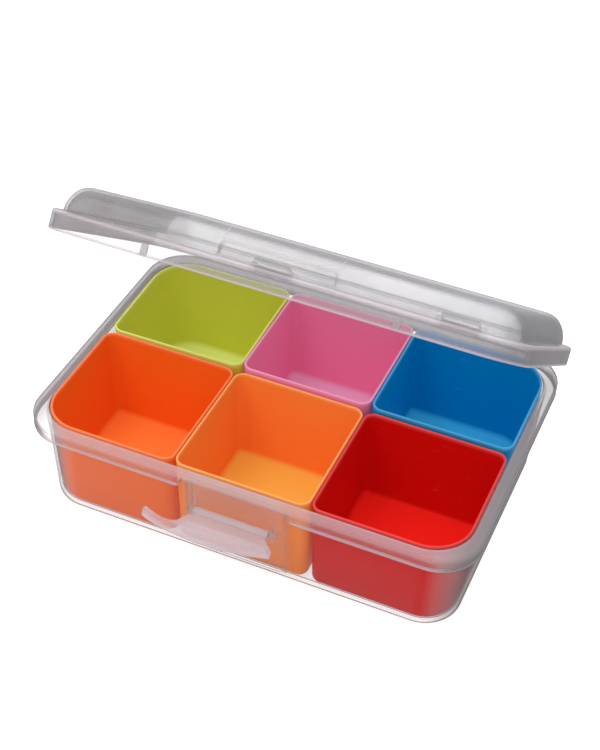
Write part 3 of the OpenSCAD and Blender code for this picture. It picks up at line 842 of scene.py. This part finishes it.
def tub_mesh(s):
    """The tub's shell, with the latch panel pressed out and the skirt cut back beside it."""
    half_x, half_y = s.width / 2, s.depth / 2
    notch = s.panel / 2 - 1 * MM
    seat = s.height - s.rim - 2 * HAIR
    side = [notch + place * MM for place in NOTCH_PLACES] + [place * MM for place in PANEL_PLACES]
    stations = sorted(side + [-place for place in side] + [0.0])
    outline = tub_outline(s)
    levels = [point[2] for point in outline]
    count = len(outline)
    wall_end = next(i for i in range(count) if levels[i] > seat - 0.8 * MM)
    rim_top = next(i for i in range(wall_end + 9, count) if levels[i] > seat)
    inside = next(i for i in range(rim_top + 1, count) if levels[i] < seat)
    rings, glow = [], {}
    for i, (inset, radius, z, _) in enumerate(outline):
        points = ring(half_x - inset, -half_y + inset, half_y - inset, radius, z, stations)
        for k, point in enumerate(points):
            if point.y > -half_y + inset + HAIR:
                continue
            here = i * len(points) + k
            if i < wall_end or i >= inside:
                bulge = panel_bulge(s, point.x, point.z, i >= inside)
                # the pressed-out latch panel is denser and takes a painted highlight, more of both
                # higher up
                glow[here] = 0.3 * bulge / s.panel_out * point.z / s.height
                point.y -= bulge
            elif i < rim_top:
                least = notch_level(s, abs(point.x), notch, seat)
                if point.z < least:
                    point.z = least
                    if abs(point.x) < notch:
                        # the skirt's edge in the notch is denser and takes a painted highlight
                        glow[here] = 0.15
        rings.append(points)
    mesh = loft("Tub shell", rings, {"edge": [point[3] for point in outline]})
    glow_at(mesh, glow)
    return mesh


def notch_level(s, x, notch, seat):
    """The level of the skirt's lower edge at a distance x from the middle."""
    skirt, bend = s.height - s.skirt, s.notch_round
    if x < notch:
        return seat
    if x > notch + bend:
        return skirt
    return skirt + bend - math.sqrt(bend * bend - (notch + bend - x) ** 2)


def lid_ear_outline(h, tub):
    """An ear that holds a lid hinge pin: (y, z) points anticlockwise seen from +X."""
    wall_y = tub.depth / 2 - tub.reach - tub.draft * 0.4 + tub.wall / 2
    heel, toe = 45.5 * MM, 36.5 * MM
    outline = [(wall_y, toe), (wall_y + tub.wall + 1 * MM, toe)]
    outline += arc(LID_AXIS.y, LID_AXIS.z, h.ear_radius, -60, 180, 24)
    outline += [(79.4 * MM, heel), (wall_y, heel)]
    return outline


def latch_ear_outline(c, tub):
    """An ear beside the latch's barrel: (y, z) points anticlockwise seen from +X."""
    y, z, r = LATCH_AXIS.y, LATCH_AXIS.z, c.barrel + 0.3 * MM
    face = -(tub.depth / 2 - tub.reach + tub.wall + tub.panel_out)
    outline = [(face + 2.2 * MM, z - r - 3.6 * MM), (face + 1.2 * MM, z + r + 1.6 * MM)]
    outline += arc(y, z, r, 90, 270, 20)
    return outline


class CADDY_OT_tub(bpy.types.Operator):
    """Builds the clear tub, with its latch panel, ears and hinge pins"""

    bl_idname = "caddy.tub"
    bl_label = "Clear tub"

    def execute(self, context):
        s, h = context.scene.caddy_tub, context.scene.caddy_hinge
        c, look = context.scene.caddy_latch, context.scene.caddy_look
        plastic = clear_plastic("Clear tub plastic", look, look.tub_haze, look.haze,
                                look.tub_shade, side_shade=0.32, rim_shade=0.9)
        shell = put("tub_shell", tub_mesh(s), plastic)
        hand_over(shell, "tub", "clear_tub", "tub")

        plastic = clear_plastic("Clear ear plastic", look, look.tub_haze, look.haze, look.haze)
        half = h.hook / 2 + h.gap
        ears = [prism("Ear", lid_ear_outline(h, s), x, x + h.ear) for x in (-half - h.ear, half)]
        seat = put("hinge_pair", join_meshes("Ears", ears))
        soften(seat, 0.35 * MM)
        seat = settle("hinge_pair", seat)
        hand_over(pair("tub_hinge_ears", seat, plastic, h.place), "tub", "clear_tub", "tub")

        pin = round_bar("pin", 2 * half + 0.4 * MM, LID_AXIS, h.pin, steps=40)
        hand_over(pair("tub_hinge_pins", pin, plastic, h.place), "tub", "clear_tub", "tub")

        ear = soft_bar("latch_ear", latch_ear_outline(c, s), c.ear, 0.3 * MM)
        place = c.width / 2 + c.gap + c.ear / 2
        hand_over(pair("tub_latch_ears", ear, plastic, place), "tub", "clear_tub", "tub")
        return {"FINISHED"}


# ------------------------------------------------------------------------- the lid

DOME_STEPS = 16         # steps up the dome's shoulder, outside
DOME_INSIDE_STEPS = 12  # and inside
PEG_WIDTH = 3.2 * MM
RECESS_PLACES = (-0.3, 0, 0.05, 0.15, 0.35, 0.7, 1.2, 1.8, 2.4, 4)  # mm, in from its side
LID_PLACES = (18, 12, 6)                                            # mm, out from the middle


def lid_outline(s):
    """(inset from the lid's edge, corner radius, level, edge glow) of the lid's rings, from
    under the dome, down inside the edge, up the outside and over the dome."""
    under, low = s.top - s.wall, s.top - s.edge
    foot, inner_foot = s.ledge, s.ledge + s.wall
    corner, dome_corner, inner_corner = s.corner, s.dome_corner, s.dome_corner - s.wall
    hem = s.edge_wall

    def shoulder(inset, radius, reach, rise, steps):
        """The dome's skin, from its foot up and in."""
        angles = [math.radians(90 * i / steps) for i in range(steps + 1)]
        skin = [(inset + reach * (1 - math.cos(a)), radius - reach * (1 - math.cos(a)),
                 s.top + rise * math.sin(a), 0) for a in angles]
        end_in, end_r, level, _ = skin[-1]
        return skin + [(end_in + FLAT, max(end_r - FLAT, FLAT), level, 0)]

    points = shoulder(inner_foot, inner_corner, s.shoulder - s.wall, s.dome - s.wall,
                      DOME_INSIDE_STEPS)[::-1]
    points += [(inner_foot, inner_corner, under + 0.4 * MM, 0),
               (inner_foot - 0.4 * MM, inner_corner + 0.4 * MM, under, 0),
               (hem + 0.5 * MM, corner - hem - 0.5 * MM, under, 0.1),
               (hem, corner - hem, under - 0.5 * MM, 0.1),
               (hem, corner - hem, low + 1.6 * MM, 0.15)]
    points += curve(hem / 2, corner - hem / 2, low + hem / 2, hem / 2, 0, -180, BEAD_STEPS, 1)
    edge = 1.0 * MM
    points += [(0, corner, low + 1.2 * MM, 0.4), (0, corner, low + 2 * MM, 0.1),
               (0, corner, s.top - 2.2 * MM, 0.1)]
    points += curve(edge, corner - edge, s.top - edge, edge, 180, 90, glow=0.8)
    points += [(edge + 0.6 * MM, corner - edge - 0.6 * MM, s.top, 0.15),
               (foot - 0.8 * MM, dome_corner + 0.8 * MM, s.top, 0.1),
               (foot - 0.1 * MM, dome_corner + 0.1 * MM, s.top + 0.25 * MM, 0.35)]
    points += shoulder(foot, dome_corner, s.shoulder, s.dome, DOME_STEPS)[1:]
    return points


def recess_depth(s, x):
    """How deep the thumb recess is at a distance x from the middle, from the dome's foot."""
    deep = s.recess_deep
    edge = min(s.recess / 2 - abs(x), deep)
    return math.sqrt(deep * deep - (deep - edge) ** 2) if edge > 0 else 0.0


def lid_mesh(s):
    """The lid's shell in its closed place, with the thumb recess pressed in."""
    half = s.recess / 2
    side = [half - place * MM for place in RECESS_PLACES] + [place * MM for place in LID_PLACES]
    stations = sorted(side + [-place for place in side] + [0.0])
    outline = lid_outline(s)
    outside = len(outline) - DOME_STEPS - 2     # where the dome's outer skin starts
    rings, creases = [], {}
    for i, (inset, radius, z, _) in enumerate(outline):
        points = ring(s.half_width - inset, -s.front + inset, s.back - inset, radius, z, stations)
        shift = s.ledge if i >= outside else s.ledge + s.wall
        on_dome = inset > s.ledge + 0.05 * MM and z > s.top - s.wall + 0.1 * MM
        for k, point in enumerate(points):
            if on_dome and point.y < -s.front + inset + HAIR:
                back = -s.front + shift + recess_depth(s, point.x)
                if 0 < back - point.y < 0.7 * MM or 0 < half - abs(point.x) < 0.4 * MM:
                    # the thumb recess's creases are denser and take a painted highlight
                    creases[i * len(points) + k] = 0.6
                point.y = max(point.y, back)
        rings.append(points)
    mesh = loft("Lid shell", rings, {"edge": [point[3] for point in outline]})
    glow_at(mesh, creases)
    return mesh


def hook_outline(h, lid):
    """A hook round a pin, bored and open below: (y, z) points anticlockwise seen from +X."""
    y, z = LID_AXIS.y, LID_AXIS.z
    bore = h.pin + h.play
    outer = bore + h.hook_wall
    gap, wide = (math.degrees(math.asin(h.mouth / 2 / radius)) for radius in (bore, outer))
    root, heel = lid.back - lid.edge_wall / 2, z - 1.4 * MM
    outline = arc(y, z, outer, -90 + wide, 90, 20)
    outline += [(root, lid.top - lid.wall / 2), (root, heel), (y - outer * 0.92, heel)]
    outline += arc(y, z, outer, 200, 270 - wide, 6)
    outline += arc(y, z, bore, 270 - gap, -90 + gap, 36)
    return outline


class CADDY_OT_lid(bpy.types.Operator):
    """Builds the clear lid at its open angle, with its hooks and pegs"""

    bl_idname = "caddy.lid"
    bl_label = "Clear lid"

    def execute(self, context):
        s, h = context.scene.caddy_lid, context.scene.caddy_hinge
        look = context.scene.caddy_look
        plastic = clear_plastic("Clear lid plastic", look, look.lid_haze, look.lid_tint,
                                look.lid_shade, sheen=0.010, glare=0.11, side_shade=0.27)
        mesh = lid_mesh(s)
        swing(mesh, LID_AXIS, -LID_OPEN)
        shell = put("lid_shell", mesh, plastic)
        hand_over(shell, "lid", "clear_lid", "lid")

        plastic = clear_plastic("Clear hook plastic", look, look.tub_haze, look.haze, look.haze)
        hook = soft_bar("hook", hook_outline(h, s), h.hook, 0.2 * MM)
        swing(hook.data, LID_AXIS, -LID_OPEN)
        hand_over(pair("lid_hooks", hook, plastic, h.place), "lid", "clear_lid", "lid")

        low = s.top - s.edge + 0.6 * MM
        buried = -s.front + s.edge_wall - 0.6 * MM
        proud = buried + 1.05 * MM
        profile = [(buried, low), (proud, low), (proud, low + 4.6 * MM), (buried, low + 5.5 * MM)]
        peg = soft_bar("peg", profile, PEG_WIDTH, 0.2 * MM)
        # the pegs are denser all over and take a painted highlight
        mark(peg.data, "edge", [0.8] * len(peg.data.vertices))
        swing(peg.data, LID_AXIS, -LID_OPEN)
        hand_over(pair("lid_pegs", peg, plastic, s.peg), "lid", "clear_lid", "lid")
        return {"FINISHED"}


# ----------------------------------------------------------------------- the latch

ROOT_STEP = 0.3 * MM    # how much narrower the flap's root is than its barrel, on each side
PIN_SHORT = 0.3 * MM    # how far inside the ears' outer faces the pins end
CATCH_WIDTH = 28 * MM


def bow_level(c, x, inset=0.0):
    """How far from the axis the free edge, or a line inset from it, is at x."""
    return c.reach - c.bow + math.sqrt((c.bow - inset) ** 2 - (x + c.bow_place) ** 2)


def flare_end(c, start, inset=0.0):
    """Where the flap's flared right side, from start at the root, meets the free edge."""
    root, low = c.width / 2 - ROOT_STEP, c.barrel + 1 * MM
    slope = (c.right - root) / (c.reach - low)
    x = start
    for _ in range(12):
        x = start + slope * (bow_level(c, x, inset) - low)
    return x


def bow_points(c, right, left, inset=0.0, steps=40):
    """The free edge from right to left."""
    places = [right + (left - right) * i / steps for i in range(steps + 1)]
    return [(x, bow_level(c, x, inset)) for x in places]


def flap_points(c):
    """The flap's outline (x, t), t from the axis, anticlockwise seen from the front."""
    neck, root = c.width / 2, c.width / 2 - ROOT_STEP
    low, side = c.barrel + 1 * MM, neck + 1.1 * MM
    hollow_x = side + c.hollow
    hollow_t = bow_level(c, -hollow_x, c.tab + c.hollow)
    touch = math.atan2(hollow_t - c.reach + c.bow, c.bow_place - hollow_x)
    touch_x = -hollow_x + c.hollow * math.cos(touch)
    points = [(-root, 0), (root, 0), (root, low)]
    points += bow_points(c, flare_end(c, root), -c.left)
    points += bow_points(c, -c.left, touch_x, c.tab, 10)[:-1]
    points += arc(-hollow_x, hollow_t, c.hollow, math.degrees(touch), 0, 10)
    points += [(-side, low), (-root, low)]
    return points


def plate(name, outline, back, front):
    """A plate with an outline (x, t), t from the latch's axis."""
    return span(name, *([Vector((x, y, LATCH_AXIS.z + t)) for x, t in outline]
                        for y in (back, front)))


def flap_cutter(c, face):
    """What is cut away in front of the flap's face, inside its lip and its right side's rib."""
    low, far, under = c.barrel + 1 * MM, 50 * MM, -8 * MM
    start = c.width / 2 - 1.5 * MM
    outline = [(-far, under), (start, under), (start, low)]
    outline += bow_points(c, flare_end(c, start, c.lip), -far, c.lip)
    return plate("Flap cutter", outline, face, face - c.lip_out - 2 * MM)


def combine(piece, other, operation):
    """Cuts another object from a piece, or adds it, and removes the other."""
    modify(piece, "Combine", "BOOLEAN", object=other, operation=operation, solver="EXACT")
    name = piece.name
    piece.name = name + ".before"
    result = settle(name, piece)
    bpy.data.objects.remove(other)
    return result


class CADDY_OT_latch(bpy.types.Operator):
    """Builds the latch flap, with its lip, thumb tab, barrel, pins and catch"""

    bl_idname = "caddy.latch"
    bl_label = "Latch flap"

    def execute(self, context):
        c, look = context.scene.caddy_latch, context.scene.caddy_look
        plastic = clear_plastic("Clear latch plastic", look, look.latch_haze, look.glow, look.haze)
        back = LATCH_AXIS.y - c.inset
        face = back - c.thick
        flap = put("latch_flap", plate("Flap", flap_points(c), back, face - c.lip_out))
        flap = combine(flap, put("cutter", flap_cutter(c, face)), "DIFFERENCE")
        barrel = round_bar("barrel", c.width, LATCH_AXIS, c.barrel)
        flap = combine(flap, barrel, "UNION")
        soften(flap, 0.28 * MM)
        flap = settle("latch_flap", flap, plastic)
        mark_flap(flap.data, c, face)
        swing(flap.data, LATCH_AXIS, LATCH_OPEN)
        hand_over(flap, "latch", "clear_latch", "latch")

        reach = c.width / 2 + c.gap + c.ear - PIN_SHORT
        pins = round_bar("latch_pins", 2 * reach, LATCH_AXIS, c.pin, plastic)
        hand_over(pins, "latch", "clear_latch", "latch")

        low = context.scene.caddy_lid.top + 0.3 * MM
        root, nose = back - 0.6 * MM, back + 2.4 * MM
        profile = [(root, low), (nose, low), (nose, low + 0.4 * MM), (root, low + 1.8 * MM)]
        catch = soft_bar("latch_catch", profile, CATCH_WIDTH, 0.15 * MM, plastic)
        swing(catch.data, LATCH_AXIS, LATCH_OPEN)
        hand_over(catch, "latch", "clear_latch", "latch")
        return {"FINISHED"}


def mark_flap(mesh, c, face):
    """Marks the flap's lip and barrel, where the plastic is thick and takes a painted highlight.
    """
    mark(mesh, "edge", [
        0.75 if v.co.y < face - 0.2 * MM or v.co.z - LATCH_AXIS.z < c.barrel else 0.1
        for v in mesh.vertices])


# ------------------------------------------------------------------------ the cups

CUPS = {
    # node: (column, row, slide to the back in mm, turn in degrees)
    "cup_red_orange": (-1, -1, 0.0, 0.0),
    "cup_orange": (0, -1, 0.0, 0.0),
    "cup_red": (1, -1, 0.0, 0.0),
    "cup_lime": (-1, 1, -1.1, 0.8),
    "cup_pink": (0, 1, -0.1, 0.0),
    "cup_blue": (1, 1, -0.5, 0.0),
}


class CADDY_OT_cups(bpy.types.Operator):
    """Builds the six coloured cups from one net and one shape tree"""

    bl_idname = "caddy.cups"
    bl_label = "Coloured cups"

    def execute(self, context):
        s, look = context.scene.caddy_cup, context.scene.caddy_look
        tree = cup_tree()
        for node, row in CUPS.items():
            shade = node.removeprefix("cup_")
            # each cup's wall colour, and its floor colour, which is painted light
            plastic = cup_plastic(node + " plastic", getattr(look, shade),
                                  getattr(look, shade + "_floor"))
            low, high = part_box(node)
            piece = put(node + "_net", cup_net(low.z, high.z, s))
            shape(piece, tree, {**cup_inputs(s, low, high, *row), "Material": plastic})
            piece = settle(node + "_body", piece)
            hand_over(piece, node, shade, node)
        return {"FINISHED"}


def cup_inputs(s, low, high, column, line, slide, turn):
    """One cup's sizes, from its solid's box. The left cups mirror the blue one, and a turned
    cup's depth is that of the blue one too, because its own box is wider."""
    blue_low, blue_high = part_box("cup_blue")
    left, right = (low.x, high.x) if column >= 0 else (-blue_high.x, -blue_low.x)
    front, back = low.y - slide * MM, high.y - slide * MM
    if turn:
        blue_slide = CUPS["cup_blue"][2] * MM
        front, back = blue_low.y - blue_slide, blue_high.y - blue_slide
    inner, outer = s.inner_taper, s.outer_taper
    return {
        **{corner + " radius": s.big_corner if place == (column, line) else s.corner
           for corner, place in CUP_CORNERS.items()},
        "Left": left, "Right": right, "Front": front, "Back": back,
        "Left taper": outer if column < 0 else inner,
        "Right taper": outer if column > 0 else inner,
        "Front taper": outer if line < 0 else inner,
        "Back taper": outer if line > 0 else inner,
        "Least radius": s.corner - s.inner_taper, "Shrink": s.outer_taper,
        "Slide": (0.0, slide * MM, 0.0), "Turn": (0.0, 0.0, math.radians(turn))}


# ----------------------------------------------------------------------- the stage

FLOOR_HALF = 4.0
FLOOR_LEVEL = -0.05 * MM
LAMPS = {
    # name: (place, width and height, power in watts)
    "Overhead strip": ((-0.3, 0.3, 1.5), (1.2, 0.8), 8.0),
    "Front fill": ((-0.35, -0.80, 1.05), (0.7, 0.7), 3.5),
}
SKY_LEVEL = 0.38        # the sky's light at the horizon and below
SKY_OVERHEAD = 0.85     # what it gains overhead
SKY_RIGHT = 0.12        # and high on the right
CAMERA_AIM = Vector((-0.0121, 0.0286, 0.0361))
CAMERA_DISTANCE = 0.7648
CAMERA_YAW = math.radians(21.54)
CAMERA_RISE = math.radians(40.69)
CAMERA_ROLL = math.radians(2.75)
CAMERA_LENS = 73.82     # mm, on a sensor of SENSOR
SENSOR = 36.0


class CADDY_OT_stage(bpy.types.Operator):
    """Builds the pale floor, the soft lights and the camera"""

    bl_idname = "caddy.stage"
    bl_label = "Stage"

    def execute(self, context):
        scene = context.scene
        scene.view_settings.view_transform = "Standard"
        mesh = bpy.data.meshes.new("Floor")
        mesh.from_pydata([(FLOOR_HALF * x, FLOOR_HALF * y, FLOOR_LEVEL)
                          for x, y in ((-1, -1), (1, -1), (1, 1), (-1, 1))], [], [(0, 1, 2, 3)])
        put("floor", mesh, backdrop_paper("Backdrop paper"))
        build_world(scene)
        for name, (place, size, power) in LAMPS.items():
            add_lamp(scene, name, place, size, power)
        build_camera(scene)
        return {"FINISHED"}


def build_world(scene):
    """Pale light all round, strongest from above, and plain white where it is seen."""
    world = bpy.data.worlds.new("Studio")
    world.use_nodes = True
    scene.world = world
    tree = world.node_tree
    right, _, height = split(tree, add_node(tree, "ShaderNodeTexCoord").outputs["Generated"])
    height = height.limited()
    light = SKY_LEVEL + SKY_OVERHEAD * height + SKY_RIGHT * right.limited() * height
    sky = tree.nodes["Background"]
    sky.inputs["Color"].default_value = (1, 1, 1, 1)
    plug(tree, sky.inputs["Strength"], light + seen_rays(tree) * (1 - light))


def build_camera(scene):
    """The camera, at the photograph's viewing angle."""
    camera_data = bpy.data.cameras.new("Camera")
    camera_data.lens = CAMERA_LENS
    camera_data.sensor_width = SENSOR
    camera = bpy.data.objects.new("Camera", camera_data)
    turn = (Matrix.Rotation(CAMERA_YAW, 4, "Z")
            @ Matrix.Rotation(math.pi / 2 - CAMERA_RISE, 4, "X")
            @ Matrix.Rotation(CAMERA_ROLL, 4, "Z"))
    back = turn.to_3x3() @ Vector((0, 0, 1))
    camera.matrix_world = Matrix.Translation(CAMERA_AIM + back * CAMERA_DISTANCE) @ turn
    scene.collection.objects.link(camera)
    scene.camera = camera


def add_lamp(scene, name, place, size, power):
    """A soft lamp aimed at the box; size is its width and its height."""
    light = bpy.data.lights.new(name, "AREA")
    light.shape = "RECTANGLE"
    light.size, light.size_y = size
    light.energy = power
    lamp = bpy.data.objects.new(name, light)
    lamp.location = place
    lamp.rotation_euler = (CAMERA_AIM - Vector(place)).to_track_quat("-Z", "Y").to_euler()
    scene.collection.objects.link(lamp)


# ----------------------------------------------------------------------- the add-on

class CADDY_PT_panel(bpy.types.Panel):
    """Lists the caddy's pieces"""

    bl_label = "Compartment caddy"
    bl_idname = "CADDY_PT_panel"
    bl_space_type = "VIEW_3D"
    bl_region_type = "UI"
    bl_category = "Caddy"

    def draw(self, context):
        for operator in OPERATORS:
            self.layout.operator(operator.bl_idname)
        for name in GROUPS:
            group = getattr(context.scene, name)
            box = self.layout.box()
            for prop in group.__annotations__:
                box.prop(group, prop)


OPERATORS = (CADDY_OT_tub, CADDY_OT_cups, CADDY_OT_lid, CADDY_OT_latch, CADDY_OT_stage)
GROUPS = {
    "caddy_tub": CaddyTubSizes,
    "caddy_lid": CaddyLidSizes,
    "caddy_cup": CaddyCupSizes,
    "caddy_latch": CaddyLatchSizes,
    "caddy_hinge": CaddyHingeSizes,
    "caddy_look": CaddyLook,
}


def register():
    """Registers the classes and hangs the sizes on the scene."""
    for group in GROUPS.values():
        bpy.utils.register_class(group)
    for name, group in GROUPS.items():
        setattr(bpy.types.Scene, name, PointerProperty(type=group))
    for item in (*OPERATORS, CADDY_PT_panel):
        bpy.utils.register_class(item)


def unregister():
    """Takes the classes and the sizes away again."""
    for item in reversed((*OPERATORS, CADDY_PT_panel)):
        bpy.utils.unregister_class(item)
    for name, group in GROUPS.items():
        delattr(bpy.types.Scene, name)
        bpy.utils.unregister_class(group)


def main():
    """Builds every piece and the stage."""
    register()
    for operator in OPERATORS:
        group, call = operator.bl_idname.split(".")
        getattr(getattr(bpy.ops, group), call)()


if __name__ == "__main__":
    main()
